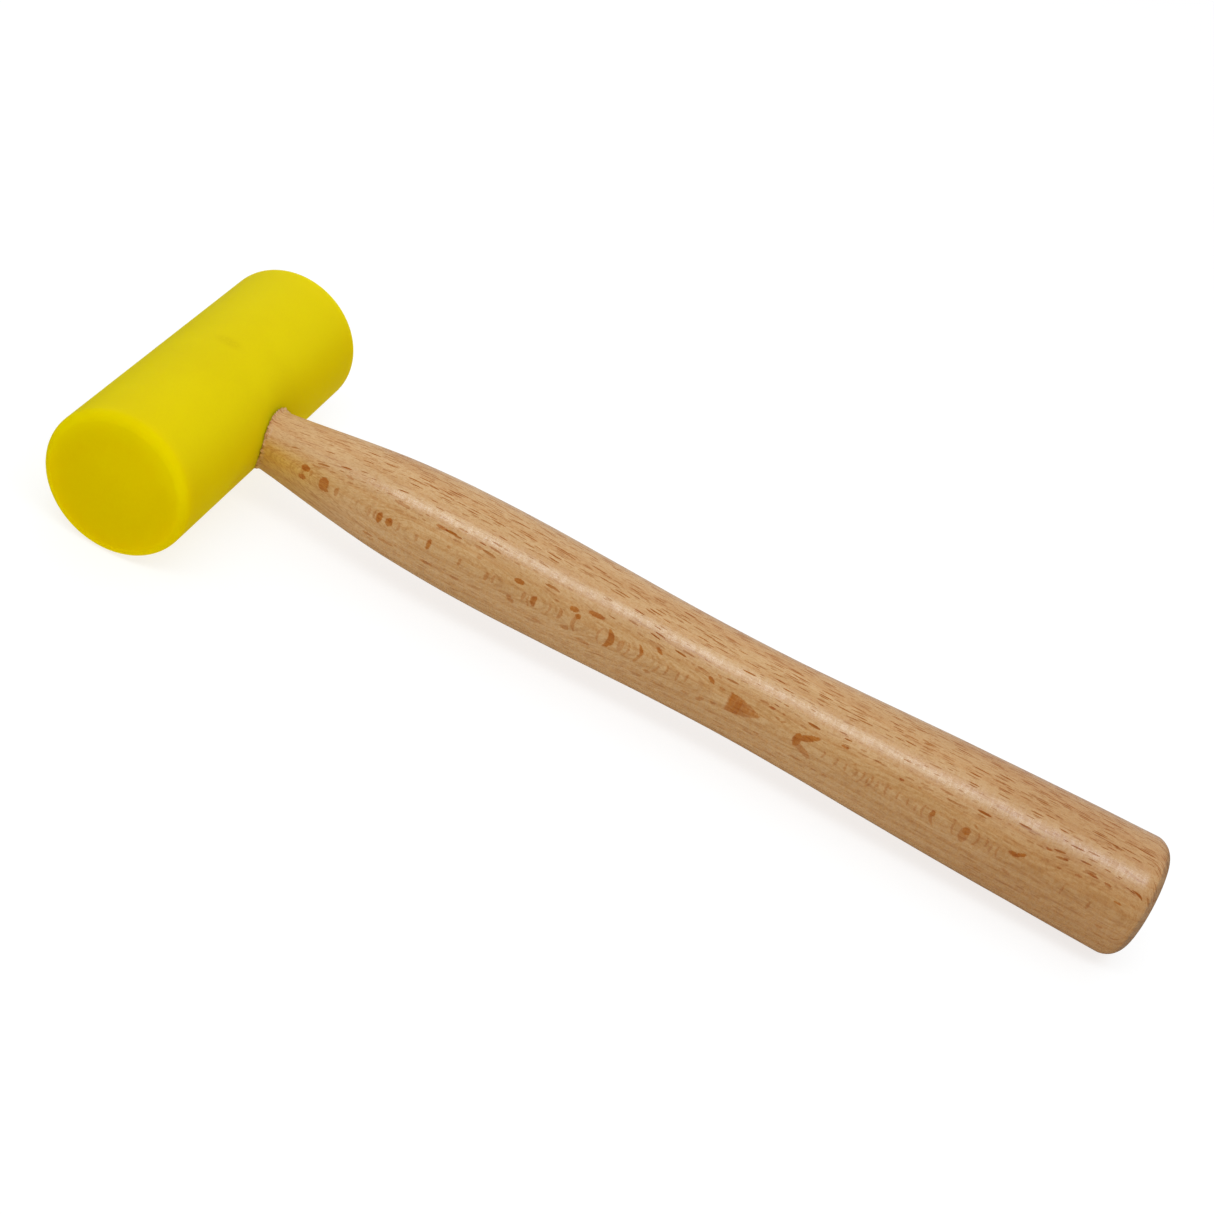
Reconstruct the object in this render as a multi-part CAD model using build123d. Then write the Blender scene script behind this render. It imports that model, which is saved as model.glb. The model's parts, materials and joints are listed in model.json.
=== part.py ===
from build123d import *
import os
from math import asin, atan2, cos, degrees, hypot, radians, sin

# A small carpenter's mallet, lying on its side on a bench: a solid plastic head on a turned
# beech handle, held by a wooden wedge and a steel cross wedge. Millimetres.
#
# The tool is drawn with the head's centre at the origin, the head along Y and the handle
# along +X. lay_down() then tips it until head and butt both touch the bench at z = 0, and
# moves the middle of its footprint to the origin.

# Head
HEAD_DIAMETER = 38.0
HEAD_LENGTH = 92.5
HEAD_EDGE_RADIUS = 2.5

# Eye, the tapered hole through the head, narrowest in the middle
EYE_MOUTH_DIAMETER = 15.6     # where the handle goes in
EYE_WAIST_DIAMETER = 13.8
EYE_TOP_DIAMETER = 15.2       # where the wedges spread the tenon

# Handle, as diameters of the turned outline at distances from the head's centre
HANDLE_END = 259.0
SHOULDER_AT, SHOULDER_DIAMETER = 50.0, 23.85
SWELL_AT, SWELL_DIAMETER = 84.0, 26.75
WAIST_AT, WAIST_DIAMETER = 146.0, 24.5
PALM_AT, PALM_DIAMETER = 200.0, 28.2
BUTT_DIAMETER = 31.3
BUTT_EDGE_RADIUS = 5.2
NECK_SLOPE = 0.127
BUTT_SLOPE = 0.024

# Wooden wedge and the saw kerf that it fills
WEDGE_THICK_END = 3.0
WEDGE_THIN_END = 0.8
WEDGE_LENGTH = 26.0
KERF_PAST_WEDGE = 4.0

# Steel wedge, driven across the wooden one
STEEL_WIDTH = 9.0
STEEL_THICKNESS = 2.2
STEEL_TIP = 0.7
STEEL_LENGTH = 14.0
STEEL_BARBS = 3
STEEL_BARB_STEP = 0.25
STEEL_SUNK = 0.9              # below the crown of the head

head_radius = HEAD_DIAMETER / 2
butt_radius = BUTT_DIAMETER / 2
past_head = head_radius + 5.0
butt_arc_at = HANDLE_END - BUTT_EDGE_RADIUS
butt_arc_radius = butt_radius - BUTT_EDGE_RADIUS

# The bench touches the head's barrel and the rounded edge of the butt: the tilt of the line
# that is tangent to both circles.
TILT = degrees(
    asin((head_radius - BUTT_EDGE_RADIUS) / hypot(butt_arc_at, butt_arc_radius))
    - atan2(butt_arc_radius, butt_arc_at)
)


def eye_outline():
    """Radii of the eye along the handle's axis, from above the head to below it."""
    top_slope = (EYE_TOP_DIAMETER - EYE_WAIST_DIAMETER) / 2 / head_radius
    mouth_slope = (EYE_MOUTH_DIAMETER - EYE_WAIST_DIAMETER) / 2 / head_radius
    waist = EYE_WAIST_DIAMETER / 2
    return (
        (-past_head, waist + top_slope * past_head),
        (0, waist),
        (past_head, waist + mouth_slope * past_head),
    )


def turned(*lines):
    """A solid of revolution about X from the lines of its upper outline, in order."""
    start, end = lines[0] @ 0, lines[-1] @ 1
    closing = Polyline(end, (end.X, 0), (start.X, 0), start)
    return revolve(make_face([*lines, closing]), axis=Axis.X)


def eye():
    return turned(Polyline(*eye_outline()))


def barrel():
    return Rot(90, 0, 0) * Cylinder(head_radius, HEAD_LENGTH)


def above_head():
    """Everything past the head's crown, where tenon and wedges are dressed flush."""
    block = Pos(-past_head, 0, 0) * Box(2 * past_head, HEAD_DIAMETER, HEAD_DIAMETER)
    return block - barrel()


def head():
    block = barrel()
    block = fillet(block.edges().filter_by(GeomType.CIRCLE), HEAD_EDGE_RADIUS)
    return block - eye()


def handle_blank():
    """The handle as it leaves the lathe, with its tenon longer than the eye."""
    top, waist, _ = eye_outline()
    neck = (head_radius, EYE_MOUTH_DIAMETER / 2)
    butt = (butt_arc_at, butt_radius)
    grip = Spline(
        neck,
        (SHOULDER_AT, SHOULDER_DIAMETER / 2),
        (SWELL_AT, SWELL_DIAMETER / 2),
        (WAIST_AT, WAIST_DIAMETER / 2),
        (PALM_AT, PALM_DIAMETER / 2),
        butt,
        tangents=((1, NECK_SLOPE), (1, BUTT_SLOPE)),
    )
    corner = (HANDLE_END, butt_radius + BUTT_SLOPE * BUTT_EDGE_RADIUS)
    blank = turned(Polyline(top, waist, neck), grip, Line(butt, corner))
    rim = blank.edges().filter_by(GeomType.CIRCLE).sort_by(Axis.X)[-1]
    return fillet(rim, BUTT_EDGE_RADIUS)


def taper(past_tip=0.0):
    """The wooden wedge's prism across the tenon, in the plane of the head's length.

    past_tip carries the thin end on as a saw kerf.
    """
    slope = (WEDGE_THICK_END - WEDGE_THIN_END) / 2 / WEDGE_LENGTH
    extra = past_head - head_radius
    tip = WEDGE_LENGTH - head_radius
    above = WEDGE_THICK_END / 2 + slope * extra
    thin = WEDGE_THIN_END / 2
    side = [(-past_head, above), (tip, thin)]
    if past_tip:
        side.append((tip + past_tip, thin))
    mirrored = [(x, -z) for x, z in reversed(side)]
    section = Plane.XZ * make_face(Polyline(*side, *mirrored, close=True))
    return extrude(section, HEAD_DIAMETER / 2, both=True)


def steel_section():
    """Half thicknesses of the steel wedge from its struck end to its tip, with barbs."""
    start = STEEL_SUNK - head_radius
    stage = STEEL_LENGTH / STEEL_BARBS
    fall = (STEEL_THICKNESS - STEEL_TIP) / 2 / STEEL_BARBS
    side = []
    for barb in range(STEEL_BARBS):
        half = STEEL_THICKNESS / 2 - barb * fall
        side.append((start + barb * stage, half))
        side.append((start + (barb + 1) * stage, half - fall - STEEL_BARB_STEP / 2))
    return side


def steel_prism(side):
    mirrored = [(x, -y) for x, y in reversed(side)]
    face = make_face(Polyline(*side, *mirrored, close=True))
    return extrude(face, STEEL_WIDTH / 2, both=True)


def steel_wedge():
    return steel_prism(steel_section())


def steel_slot():
    """The room that the steel wedge takes, open to the crown above its struck end."""
    side = steel_section()
    return steel_prism([(-past_head, side[0][1]), *side])


def wood_wedge():
    return (taper() & eye()) - above_head() - steel_slot()


def handle():
    return handle_blank() - taper(KERF_PAST_WEDGE) - above_head() - steel_slot()


def lay_down(piece):
    """Tip the tool onto the bench and centre its footprint."""
    tilt = radians(TILT)
    far_end = butt_arc_at * cos(tilt) + butt_arc_radius * sin(tilt) + BUTT_EDGE_RADIUS
    middle = (far_end - head_radius) / 2
    return Pos(-middle, 0, head_radius) * Rot(0, TILT, 0) * piece


pieces = {
    "head": head(),
    "handle": handle(),
    "wood_wedge": wood_wedge(),
    "steel_wedge": steel_wedge(),
}

os.makedirs("parts", exist_ok=True)
for name, piece in pieces.items():
    export_step(lay_down(piece), f"parts/{name}.step")
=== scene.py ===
import json
from math import atan2, cos, exp, pi, radians, sin, sqrt

import bmesh
import bpy
import numpy as np
from mathutils import Matrix, Vector, noise


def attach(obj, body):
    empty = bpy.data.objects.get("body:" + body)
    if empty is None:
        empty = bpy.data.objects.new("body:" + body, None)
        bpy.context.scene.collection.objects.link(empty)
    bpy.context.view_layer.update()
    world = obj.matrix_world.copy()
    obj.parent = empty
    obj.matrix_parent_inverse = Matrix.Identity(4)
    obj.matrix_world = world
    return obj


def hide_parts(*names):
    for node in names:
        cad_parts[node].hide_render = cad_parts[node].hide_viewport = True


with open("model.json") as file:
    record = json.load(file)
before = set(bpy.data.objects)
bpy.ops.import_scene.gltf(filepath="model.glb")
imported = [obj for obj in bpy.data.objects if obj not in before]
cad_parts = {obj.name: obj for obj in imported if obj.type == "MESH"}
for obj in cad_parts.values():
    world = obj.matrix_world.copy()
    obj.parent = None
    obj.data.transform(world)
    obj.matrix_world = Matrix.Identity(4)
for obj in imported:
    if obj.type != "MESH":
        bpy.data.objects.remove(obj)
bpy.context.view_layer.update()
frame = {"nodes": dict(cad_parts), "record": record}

# -------- the frame's numbers
MM = 0.001

mounts = {mount["name"]: mount for mount in frame["record"]["mounts"]}
LEFT_FACE = Vector(mounts["striking_face_left"]["pos_m"])
RIGHT_FACE = Vector(mounts["striking_face_right"]["pos_m"])
BUTT = Vector(mounts["butt_end"]["pos_m"])
HEAD_CENTRE = (LEFT_FACE + RIGHT_FACE) / 2
HEAD_RADIUS = HEAD_CENTRE.z / MM
HEAD_LENGTH = (LEFT_FACE - RIGHT_FACE).length / MM
HANDLE_END = (BUTT - HEAD_CENTRE).length / MM


def tool_frame():
    """The tool's own frame: head's centre at the origin, handle along +X, head along Y."""
    along = (BUTT - HEAD_CENTRE).normalized()
    across = (LEFT_FACE - RIGHT_FACE).normalized()
    axes = Matrix((along, across, along.cross(across))).transposed()
    return Matrix.Translation(HEAD_CENTRE) @ axes.to_4x4()


TOOL = tool_frame()

# Millimetres in the tool's frame, the same as in the CAD
HEAD_EDGE_RADIUS = 2.5
EYE_MOUTH_RADIUS = 7.8
EYE_WAIST_RADIUS = 6.9
EYE_TOP_RADIUS = 7.6
BUTT_EDGE_RADIUS = 5.2
OUTLINE_AT = (HEAD_RADIUS, 50.0, 84.0, 146.0, 200.0, HANDLE_END - BUTT_EDGE_RADIUS)
OUTLINE_RADII = (EYE_MOUTH_RADIUS, 11.925, 13.375, 12.25, 14.1, 15.65)
NECK_SLOPE = 0.127
BUTT_SLOPE = 0.024
WEDGE_THICK_END = 3.0
WEDGE_THIN_END = 0.8
WEDGE_LENGTH = 26.0
KERF_PAST_WEDGE = 4.0
STEEL_WIDTH = 9.0
STEEL_THICKNESS = 2.2
STEEL_TIP = 0.7
STEEL_LENGTH = 14.0
STEEL_BARBS = 3
STEEL_BARB_STEP = 0.25
STEEL_SUNK = 0.9

# The camera stands where the photo was taken from. Its target is in millimetres, its distance
# in metres, its angles in degrees.
CAMERA_TARGET = (-9.05, 6.06, 16.0)
CAMERA_DISTANCE = 0.56307
CAMERA_AZIMUTH, CAMERA_ELEVATION, CAMERA_ROLL = -83.354, 35.237, 23.49
LENS, SENSOR_WIDTH = 67.57, 36.0

# Studio, in metres and watts
COOL_WHITE = (0.90, 1.0, 1.07)
TENT_TOP = (0.08, 0.20, 0.97)
SWEEP_MIDDLE = (-0.1, 0.99, -0.1)
KEY_PLACE, KEY_AIM, KEY_TURN = (0.05, -0.43, 1.0), (0.02, 0.0, 0.0), 10.0
KEY_SIZE, KEY_POWER = (1.2, 0.28), 5.1
FLOOR_CELLS, FLOOR_HALF = 16, 30.0
FLOOR_PAINT, FLOOR_GLOW = (0.27, 0.27, 0.27, 1.0), 0.75

# Colours of the plastic. A tint multiplies what is under it.
YELLOW_DEEP = (0.700, 0.547, 0.000)
YELLOW_PALE = (0.736, 0.583, 0.000)
YELLOW_GLOSS = (1.0, 0.80, 0.0, 1.0)
# Painted shade on the faces, painted light on their upper part, painted shade on the lower rim
FACE_SHADE_TINT = (1.025, 0.985, 1.0)
FACE_TOP_LIGHT_TINT = (1.01, 1.07, 1.0)
RIM_SHADE_TINT = (0.92, 0.94, 1.0)
# Painted shade on the lower half, and more on the belly
LOW_SHADE_TINT = (0.985, 0.965, 1.0)
BELLY_SHADE_TINT = (0.93, 0.87, 1.0)
# A faint darker speckled patch on top of the barrel, over the tenon
TOP_PATCH_TINT = (0.90, 0.86, 1.0)
TOP_PATCH_AT, TOP_PATCH_SIZE = (0.0, 1.4, HEAD_RADIUS), (4.2, 2.6, 4.0)
# Middle, reach and tint of each patch of painted shade round the neck, where the handle shades
# the plastic
NECK_SHADE = (((20.0, 0.0, 0.0), 16.0, (0.97, 0.95, 1.0)),
         ((19.0, -12.0, -4.0), 12.0, (0.93, 0.89, 1.0)))

# Colours of the beech
WOOD_DEEP = (0.600, 0.350, 0.144)
WOOD_PALE = (0.650, 0.394, 0.176)
LATE_WOOD_TINT = (0.90, 0.76, 0.58)
DARK_FIBRE_TINT, PALE_FIBRE_TINT = (0.89, 0.79, 0.65), (1.04, 1.05, 1.08)
DARK_MOTTLE_TINT, PALE_MOTTLE_TINT = (0.92, 0.85, 0.74), (1.03, 1.05, 1.07)
PORE_TINT = (0.84, 0.72, 0.58)
RIPPLE_TINT = (0.91, 0.84, 0.74)
# Painted light: the yellow head's bounce on the neck
WARM_TINT = (0.99, 0.94, 0.30)
# Darker towards the butt, most on the lower side
BUTTWARD_TINT = (0.84, 0.77, 0.69)
RAY_TINT = (0.57, 0.27, 0.02)
FLECK_TINT = (0.71, 0.38, 0.06)
END_GRAIN_TINT = (0.62, 0.66, 0.80)
CRUSHED_TINT, FRAYED_TINT = (0.90, 0.78, 0.60), (1.16, 1.26, 1.40)
LACQUER_GLOSS = 0.62

# Colours of the wedges
WEDGE_DEEP, WEDGE_PALE = (0.300, 0.165, 0.075), (0.430, 0.255, 0.125)
WEDGE_PORE_TINT, WEDGE_TOP_TINT = (0.45, 0.36, 0.28), (0.86, 0.82, 0.78)
STEEL_DARK, STEEL_BRIGHT = (0.42, 0.41, 0.40), (0.56, 0.55, 0.54)
RUST = (0.23, 0.105, 0.045)


# -------- shader helper
class Shader:
    """The nodes of one material, or of the world, and short calls for adding more."""

    def __init__(self, owner):
        owner.use_nodes = True
        self.material = owner
        self.nodes = owner.node_tree.nodes
        self.links = owner.node_tree.links
        self.surface = next(
            node for node in self.nodes if node.type in ("BSDF_PRINCIPLED", "BACKGROUND")).inputs

    def feed(self, socket, value):
        if isinstance(value, bpy.types.NodeSocket):
            self.links.new(value, socket)
        else:
            socket.default_value = value

    def give(self, name, value):
        """Sets or links an input of the surface, or of the world's background."""
        self.feed(self.surface[name], value)

    def add(self, kind, values, **settings):
        """A new node with its settings and its first inputs, which are numbers or links."""
        made = self.nodes.new(kind)
        for name, value in settings.items():
            setattr(made, name, value)
        for socket, value in zip(made.inputs, values):
            self.feed(socket, value)
        return made

    def math(self, operation, *values):
        return self.add("ShaderNodeMath", values, operation=operation).outputs[0]

    def plus(self, first, second):
        return self.math("ADD", first, second)

    def minus(self, first, second):
        return self.math("SUBTRACT", first, second)

    def times(self, first, second):
        return self.math("MULTIPLY", first, second)

    def larger(self, first, second):
        return self.math("MAXIMUM", first, second)

    def smaller(self, first, second):
        return self.math("MINIMUM", first, second)

    def vector(self, operation, *values):
        return self.add("ShaderNodeVectorMath", values, operation=operation).outputs[0]

    def dot(self, first, second):
        return self.add("ShaderNodeVectorMath", (first, second),
                        operation="DOT_PRODUCT").outputs["Value"]

    def length(self, vector):
        return self.add("ShaderNodeVectorMath", [vector], operation="LENGTH").outputs["Value"]

    def split(self, vector):
        return tuple(self.add("ShaderNodeSeparateXYZ", [vector]).outputs)

    def join(self, *values):
        return self.add("ShaderNodeCombineXYZ", values).outputs[0]

    def millimetres(self, frame_matrix):
        """Position in a frame, in millimetres, the same in every view."""
        here = self.nodes.new("ShaderNodeTexCoord").outputs["Object"]
        place, turn, _ = frame_matrix.decompose()
        values = (here, place, turn.to_euler(), (MM, MM, MM))
        return self.add("ShaderNodeMapping", values, vector_type="TEXTURE").outputs[0]

    def noise(self, place, sizes, detail=2.0, roughness=0.5):
        """Noise whose blobs measure about so many millimetres along each axis."""
        made = self.nodes.new("ShaderNodeTexNoise")
        self.feed(made.inputs["Vector"], self.vector("DIVIDE", place, sizes))
        made.inputs["Scale"].default_value = 1.0
        made.inputs["Detail"].default_value = detail
        made.inputs["Roughness"].default_value = roughness
        return made.outputs["Fac"]

    def wander(self, place, sizes, reach):
        """Smooth noise about zero, which wanders by up to half its reach each way."""
        return self.times(self.minus(self.noise(place, sizes, detail=1.0), 0.5), reach)

    def step(self, value, low, high, to_low=0.0, to_high=1.0):
        """A smooth step from to_low, where value is low, to to_high, where it is high."""
        values = (value, low, high, to_low, to_high)
        return self.add("ShaderNodeMapRange", values, interpolation_type="SMOOTHSTEP").outputs[0]

    def mix(self, share, first, second, blend="MIX"):
        made = self.nodes.new("ShaderNodeMix")
        made.data_type = "RGBA"
        made.blend_type = blend
        for name, given in (("Factor_Float", share), ("A_Color", first), ("B_Color", second)):
            socket = next(s for s in made.inputs if s.identifier == name)
            if isinstance(given, tuple):
                given = (*given, 1.0)
            self.feed(socket, given)
        return next(s for s in made.outputs if s.identifier == "Result_Color")

    def stain(self, colour, share, tint):
        """The colour multiplied by a tint, by a share from 0 to 1."""
        return self.mix(share, colour, tint, "MULTIPLY")

    def bump(self, height, distance_mm):
        made = self.nodes.new("ShaderNodeBump")
        made.inputs["Distance"].default_value = distance_mm * MM
        self.feed(made.inputs["Height"], height)
        self.give("Normal", made.outputs["Normal"])


def new_material(name):
    return Shader(bpy.data.materials.new(name))


# -------- camera, light and floor
def add_camera():
    azimuth, elevation = radians(CAMERA_AZIMUTH), radians(CAMERA_ELEVATION)
    back = Vector((cos(elevation) * cos(azimuth), cos(elevation) * sin(azimuth), sin(elevation)))
    camera = bpy.data.objects.new("camera", bpy.data.cameras.new("camera"))
    camera.data.lens = LENS
    camera.data.sensor_width = SENSOR_WIDTH
    camera.data.clip_start = 0.02
    level = back.to_track_quat("Z", "Y").to_matrix().to_4x4()
    place = Matrix.Translation(Vector(CAMERA_TARGET) * MM + back * CAMERA_DISTANCE)
    camera.matrix_world = place @ level @ Matrix.Rotation(radians(CAMERA_ROLL), 4, "Z")
    bpy.context.scene.collection.objects.link(camera)
    bpy.context.scene.camera = camera


def add_softbox(name, place, aim, turn, size, watts):
    """A softbox aimed at a point, then turned about its own axis by some degrees."""
    light = bpy.data.lights.new(name, "AREA")
    light.color = COOL_WHITE
    light.shape = "RECTANGLE"
    light.size, light.size_y = size
    light.energy = watts
    box = bpy.data.objects.new(name, light)
    facing = (Vector(place) - Vector(aim)).to_track_quat("Z", "Y").to_matrix().to_4x4()
    box.matrix_world = Matrix.Translation(place) @ facing @ Matrix.Rotation(radians(turn), 4, "Z")
    bpy.context.scene.collection.objects.link(box)


def add_studio():
    """A white tent, bright overhead and dim low down, a bright sweep behind, a long softbox."""
    world = bpy.data.worlds.new("studio")
    bpy.context.scene.world = world
    tent = Shader(world)
    towards = tent.nodes.new("ShaderNodeTexCoord").outputs["Generated"]
    slanted = tent.dot(towards, TENT_TOP)
    dimmed = tent.step(tent.split(towards)[2], -0.06, 0.0, 0.35, 1.0)
    strength = tent.times(tent.step(slanted, -0.05, 0.9, 0.18, 0.87), dimmed)
    sweep = tent.step(tent.dot(towards, SWEEP_MIDDLE), 0.78, 0.96, 0.0, 0.58)
    strength = tent.larger(strength, sweep)
    tent.give("Color", (1.0, 1.0, 1.0, 1.0))
    tent.give("Strength", strength)
    add_softbox("key", KEY_PLACE, KEY_AIM, KEY_TURN, KEY_SIZE, KEY_POWER)
    bpy.context.scene.view_settings.view_transform = "Standard"


def add_floor():
    """A white floor that glows a little, so that it stays white round the tool's shadow."""
    mesh = bpy.data.meshes.new("floor")
    shape = bmesh.new()
    bmesh.ops.create_grid(
        shape, x_segments=FLOOR_CELLS, y_segments=FLOOR_CELLS, size=FLOOR_HALF)
    shape.to_mesh(mesh)
    shape.free()
    floor = bpy.data.objects.new("floor", mesh)
    bpy.context.scene.collection.objects.link(floor)
    paint = new_material("floor_paint")
    paint.give("Base Color", FLOOR_PAINT)
    paint.give("Roughness", 0.7)
    paint.give("Emission Color", (1.0, 1.0, 1.0, 1.0))
    paint.give("Emission Strength", FLOOR_GLOW)
    mesh.materials.append(paint.material)
    floor.visible_glossy = False


# -------- mesh helpers
def loft(rings):
    """Points and quads of a skin through closed rings with the same number of points."""
    count = len(rings[0])
    points = [point for ring in rings for point in ring]
    faces = []
    for row in range(len(rings) - 1):
        low, high = row * count, (row + 1) * count
        for i in range(count):
            j = (i + 1) % count
            faces.append((low + i, low + j, high + j, high + i))
    return points, faces


def fan(ring, centre):
    """Points and triangles that close a ring on its centre."""
    count = len(ring)
    return [*ring, centre], [(i, (i + 1) % count, count) for i in range(count)]


WELD_DISTANCE = 0.002
SHORTEST_EDGE = 0.0005
SHARP_ANGLE = 35.0


def build_mesh(name, skins):
    """One mesh from several skins, welded where they meet, its normals pointing out."""
    shape = bmesh.new()
    for points, faces in skins:
        made = [shape.verts.new(point) for point in points]
        for face in faces:
            shape.faces.new([made[i] for i in face])
    bmesh.ops.remove_doubles(shape, verts=shape.verts, dist=WELD_DISTANCE)
    bmesh.ops.dissolve_degenerate(shape, edges=shape.edges, dist=SHORTEST_EDGE)
    bmesh.ops.recalc_face_normals(shape, faces=shape.faces)
    mesh = bpy.data.meshes.new(name)
    shape.to_mesh(mesh)
    shape.free()
    return mesh


def carve(mesh, *cutters):
    """The mesh with closed cutters taken out of it."""
    body = bpy.data.objects.new(mesh.name, mesh)
    tools = [bpy.data.objects.new(cutter.name, cutter) for cutter in cutters]
    for item in (body, *tools):
        bpy.context.scene.collection.objects.link(item)
    for tool in tools:
        cut = body.modifiers.new(tool.name, "BOOLEAN")
        cut.operation = "DIFFERENCE"
        cut.solver = "EXACT"
        cut.object = tool
    bpy.context.view_layer.update()
    ready = body.evaluated_get(bpy.context.evaluated_depsgraph_get())
    carved = bpy.data.meshes.new_from_object(ready)
    for item in (body, *tools):
        bpy.data.objects.remove(item)
    carved.name = mesh.name
    return carved


def add_piece(mesh, name, material, node):
    """Places a mesh made in the tool's millimetres on the one body, instead of a CAD node."""
    mesh.transform(TOOL @ Matrix.Diagonal((MM, MM, MM, 1.0)))
    mesh.shade_smooth()
    mesh.set_sharp_from_angle(angle=radians(SHARP_ANGLE))
    mesh.materials.clear()
    mesh.materials.append(material)
    piece = bpy.data.objects.new(name, mesh)
    bpy.context.scene.collection.objects.link(piece)
    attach(piece, "root")
    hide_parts(node)
    return piece


# -------- head
SQUARE_HALF = 11.0            # half of the square of the barrel that is meshed round an eye
EYE_EDGE_ROUNDING = 0.15
# Mesh cells: along a side of that square, from it in to the eye, over the eye's rounded edge,
# down the eye, along the barrel to its rim, round the barrel between the squares, over a
# rim's rounding and across a face
EYE_SIDES, PATCH_CELLS, EDGE_CELLS, EYE_CELLS = 16, 10, 4, 12
BARREL_CELLS, GAP_CELLS, RIM_CELLS, FACE_CELLS = 22, 36, 12, 12
PATCH_CROWDING = 0.8          # below 1, the patch's cells are smaller near the eye
EDGE_ROUNDS = 12              # of repeating, to find the eye's edge
FACE_EDGE = 0.3               # width of the first ring of cells on a face


def eye_radius(x):
    """The eye is a cone each way from its narrow waist."""
    end = EYE_MOUTH_RADIUS if x > 0 else EYE_TOP_RADIUS
    return EYE_WAIST_RADIUS + (end - EYE_WAIST_RADIUS) * abs(x) / HEAD_RADIUS


def eye_edge(turn, side):
    """The point where the eye meets the barrel, at an angle about the handle's axis.

    The radius depends on x and x on the radius, so both are found by repeating.
    """
    x = side * HEAD_RADIUS
    for _ in range(EDGE_ROUNDS):
        radius = eye_radius(x)
        x = side * sqrt(HEAD_RADIUS ** 2 - (radius * sin(turn)) ** 2)
    return x, radius * cos(turn), radius * sin(turn)


def on_barrel(y, arc, side=1, radius=HEAD_RADIUS):
    """A point of the barrel from y and the arc length round from the handle's side."""
    angle = arc / HEAD_RADIUS
    return side * radius * cos(angle), y, radius * sin(angle)


def square_loop():
    """(y, arc) round the square, and the matching angles about the handle's axis."""
    corners = ((1, -1), (1, 1), (-1, 1), (-1, -1))
    loop, turns = [], []
    for side in range(4):
        (y0, s0), (y1, s1) = corners[side], corners[(side + 1) % 4]
        for i in range(EYE_SIDES):
            t = i / EYE_SIDES
            loop.append((SQUARE_HALF * (y0 + (y1 - y0) * t), SQUARE_HALF * (s0 + (s1 - s0) * t)))
            turns.append(-pi / 4 + (side + t) * pi / 2)
    return loop, turns


def eye_patch(side):
    """The barrel's skin from the square in to the eye, with the eye's edge rounded over."""
    loop, turns = square_loop()
    rings = []
    for step in range(PATCH_CELLS + 1):
        share = (step / PATCH_CELLS) ** PATCH_CROWDING
        ring = []
        for (y, arc), turn in zip(loop, turns):
            edge = eye_edge(turn, side)
            edge_arc = HEAD_RADIUS * atan2(edge[2], abs(edge[0]))
            reach = sqrt(edge[1] ** 2 + edge_arc ** 2)
            grow = (reach + EYE_EDGE_ROUNDING) / reach
            ring.append(on_barrel(
                y + (edge[1] * grow - y) * share, arc + (edge_arc * grow - arc) * share, side))
        rings.append(ring)
    outer_ring = rings[-1]
    for step in range(1, EDGE_CELLS + 1):
        t = step / EDGE_CELLS
        ring = []
        for outer, turn in zip(outer_ring, turns):
            edge = eye_edge(turn, side)
            inside = edge[0] - side * EYE_EDGE_ROUNDING
            radius = eye_radius(inside)
            inner = (inside, radius * cos(turn), radius * sin(turn))
            ring.append(tuple(
                (1 - t) ** 2 * a + 2 * t * (1 - t) * b + t * t * c
                for a, b, c in zip(outer, edge, inner)))
        rings.append(ring)
    return rings


def eye_wall(mouth, top):
    """The eye's tapered wall between its two rounded edges."""
    rings = []
    for i in range(EYE_CELLS + 1):
        ring = []
        for a, b in zip(mouth, top):
            x = a[0] + (b[0] - a[0]) * i / EYE_CELLS
            turn = atan2(a[2], a[1])
            ring.append((x, eye_radius(x) * cos(turn), eye_radius(x) * sin(turn)))
        rings.append(ring)
    return loft(rings)


def barrel_skin(columns, arcs):
    """The barrel without the two squares round the eyes, whose cells match the patches."""
    points = [on_barrel(y, arc) for y in columns for arc in arcs]
    count = len(arcs)
    far_square = arcs.index(pi * HEAD_RADIUS - SQUARE_HALF)
    faces = []
    for c in range(len(columns) - 1):
        beside = abs(columns[c] + columns[c + 1]) / 2 < SQUARE_HALF
        for r in range(count):
            if beside and (r < EYE_SIDES or far_square <= r < far_square + EYE_SIDES):
                continue
            s = (r + 1) % count
            faces.append((c * count + r, c * count + s, (c + 1) * count + s, (c + 1) * count + r))
    return points, faces


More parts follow.
